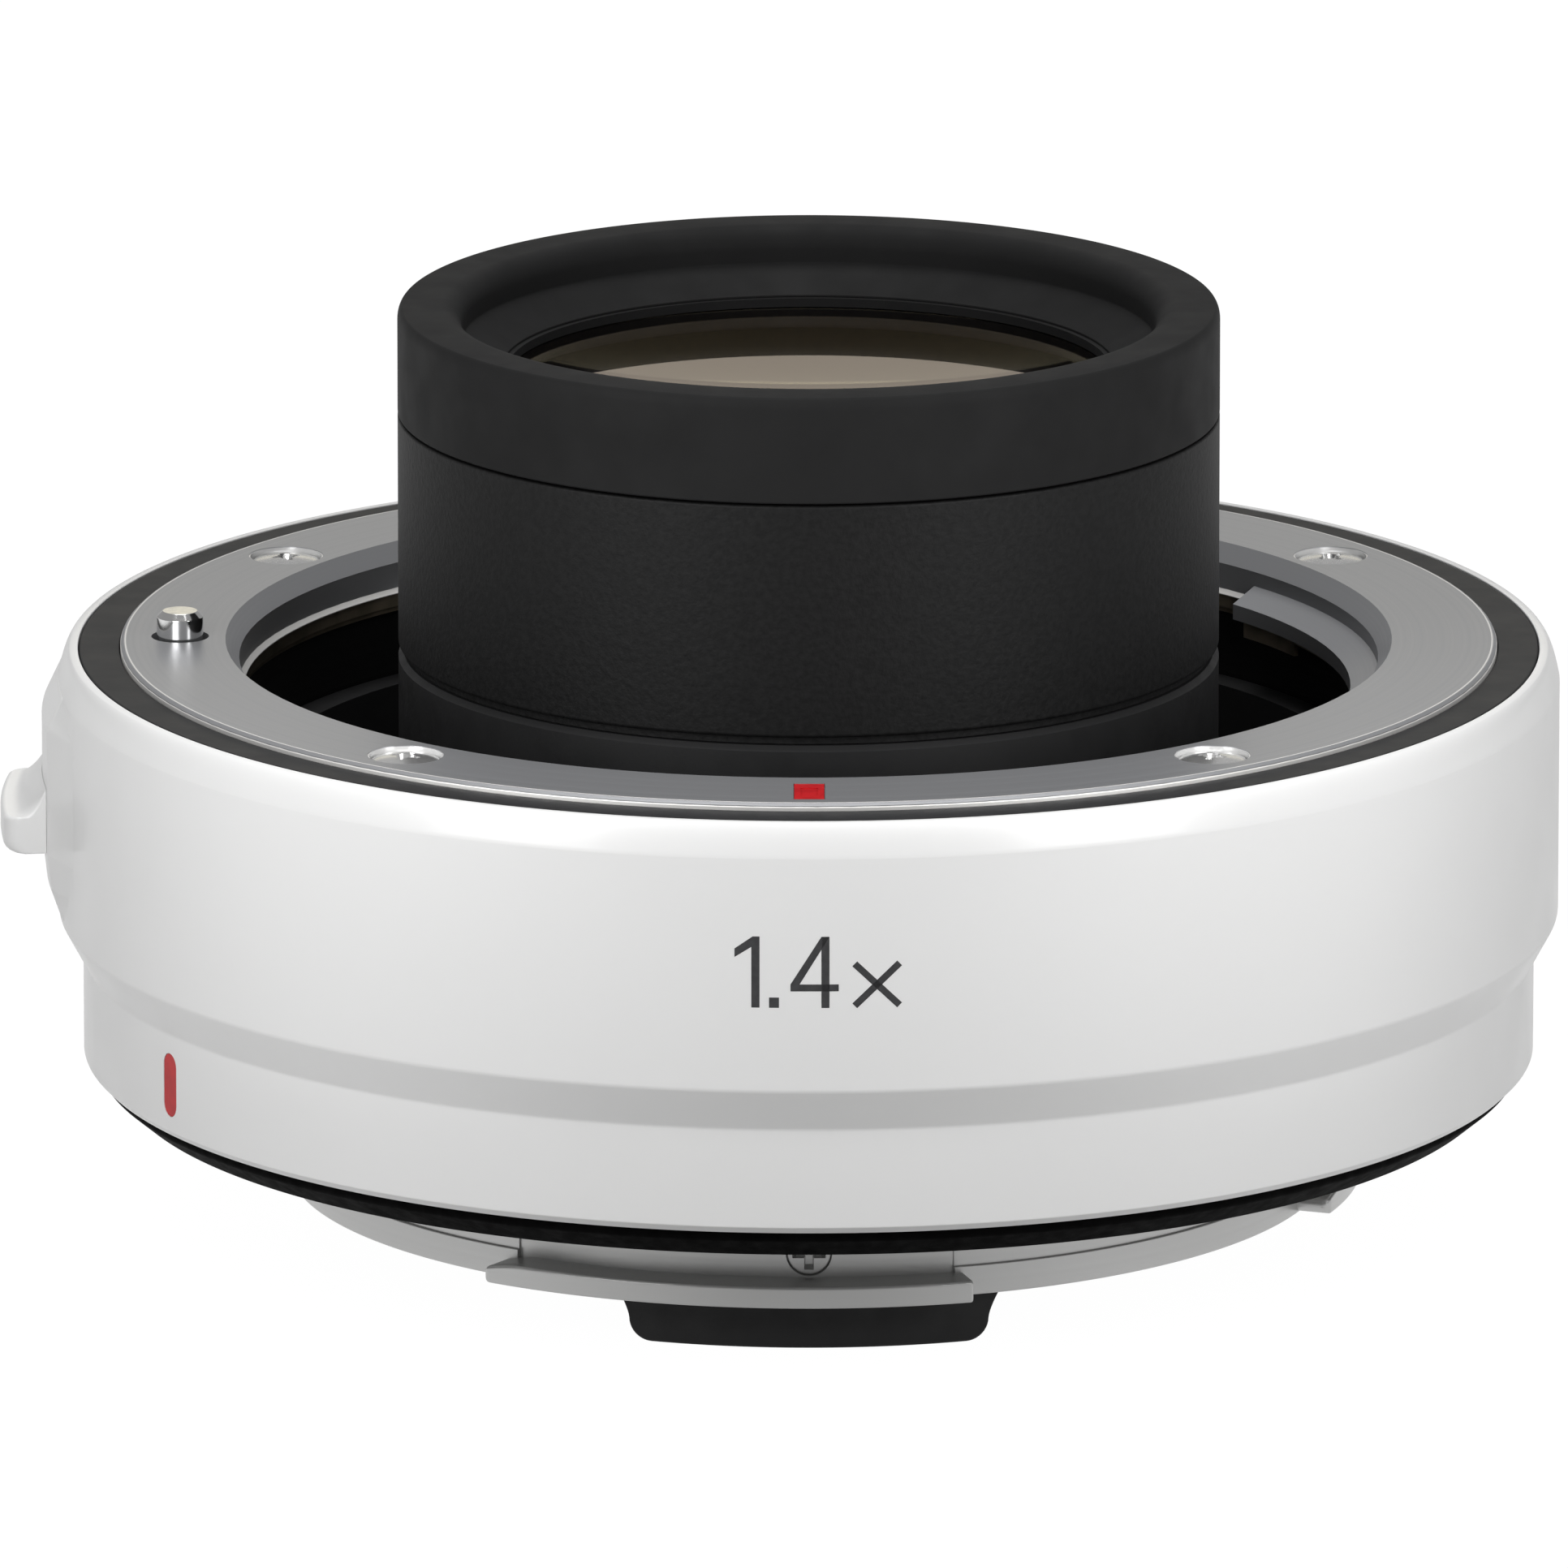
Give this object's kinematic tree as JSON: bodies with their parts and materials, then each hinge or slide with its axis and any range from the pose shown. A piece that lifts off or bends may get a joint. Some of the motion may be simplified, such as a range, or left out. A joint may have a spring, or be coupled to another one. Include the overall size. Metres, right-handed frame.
{
  "type": "camera teleconverter",
  "caption": "Short white camera teleconverter: a bayonet ring with a black lens barrel on one side, a rear bayonet on the other, contacts, and a lock pin drawn back by a side lever.",
  "frame": {"origin": "on the optical axis, in the plane of the rear flange's seat", "axes": "+Z along the optical axis towards the lens side; -Y towards the red index mark of the front mount; -X towards the lock pin and its lever"},
  "size_m": [0.074, 0.0712, 0.0447],
  "materials": {
    "white_paint": "semi-gloss",
    "red_paint": "satin",
    "dark_trim": "satin",
    "mount_steel": "satin",
    "screw_steel": "polished",
    "shim_brass": "satin",
    "spring_bronze": "satin",
    "spring_steel": "satin",
    "frame_alloy": "satin",
    "black_plastic": "matte",
    "black_metal": "matte",
    "lens_glass": "polished",
    "contact_gold": "polished",
    "seal_rubber": "matte",
    "board_green": "satin",
    "chip_black": "matte",
    "flex_amber": "satin"
  },
  "bodies": {
    "body": {"outer_casing": "white_paint", "casing_index_line": "red_paint", "front_index_mark": "red_paint", "front_trim_ring": "dark_trim", "front_mount": "mount_steel", "rear_mount": "mount_steel", "front_mount_screws": "screw_steel", "rear_mount_screws": "screw_steel", "neck_screws": "screw_steel", "barrel_screws": "screw_steel", "board_screws": "screw_steel", "bracket_screws": "screw_steel", "front_shim": "shim_brass", "rear_shim": "shim_brass", "lock_pin_bush": "shim_brass", "mount_spring_ring": "spring_bronze", "lock_pin_spring": "spring_steel", "contact_springs": "spring_steel", "main_frame": "frame_alloy", "lever_bracket": "frame_alloy", "throat_liner": "black_plastic", "rear_baffle": "black_plastic", "rear_contact_block": "black_plastic", "front_contact_block": "black_plastic", "lens_cell": "black_metal", "barrel_sleeve": "black_metal", "barrel_hood": "black_metal", "front_retaining_ring": "black_metal", "front_spacer": "black_metal", "middle_spacer": "black_metal", "rear_spacer": "black_metal", "rear_retaining_ring": "black_metal", "lens_1": "lens_glass", "lens_2": "lens_glass", "lens_3": "lens_glass", "lens_4": "lens_glass", "lens_5": "lens_glass", "lens_6": "lens_glass", "lens_7": "lens_glass", "rear_contact_pads": "contact_gold", "rear_seal": "seal_rubber", "circuit_board": "board_green", "board_chips": "chip_black", "front_flex": "flex_amber", "rear_flex": "flex_amber"},
    "release_lever": {"release_lever": "white_paint", "lever_carriage": "frame_alloy", "lever_screw": "screw_steel"},
    "lock_pin": {"lock_pin": "screw_steel"},
    "contact_pins": {"front_contact_pins": "contact_gold"}
  },
  "joints": [
    {"name": "lever_slide", "type": "slide", "parent": "body", "child": "release_lever", "axis": [0, 0, 1], "range_m": [-0.0018, 0], "stiffness_N_per_m": 300},
    {"name": "pin_slide", "type": "slide", "parent": "body", "child": "lock_pin", "axis": [0, 0, 1], "range_m": [-0.0018, 0], "stiffness_N_per_m": 300, "deforming": ["lock_pin_spring"]},
    {"name": "contacts_press", "type": "slide", "parent": "body", "child": "contact_pins", "axis": [0, 0, 1], "range_m": [-0.0008, 0], "stiffness_N_per_m": 1200, "deforming": ["contact_springs"]}
  ],
  "couplings": [
    {"joint": "pin_slide", "follows": "lever_slide", "ratio": 1}
  ]
}
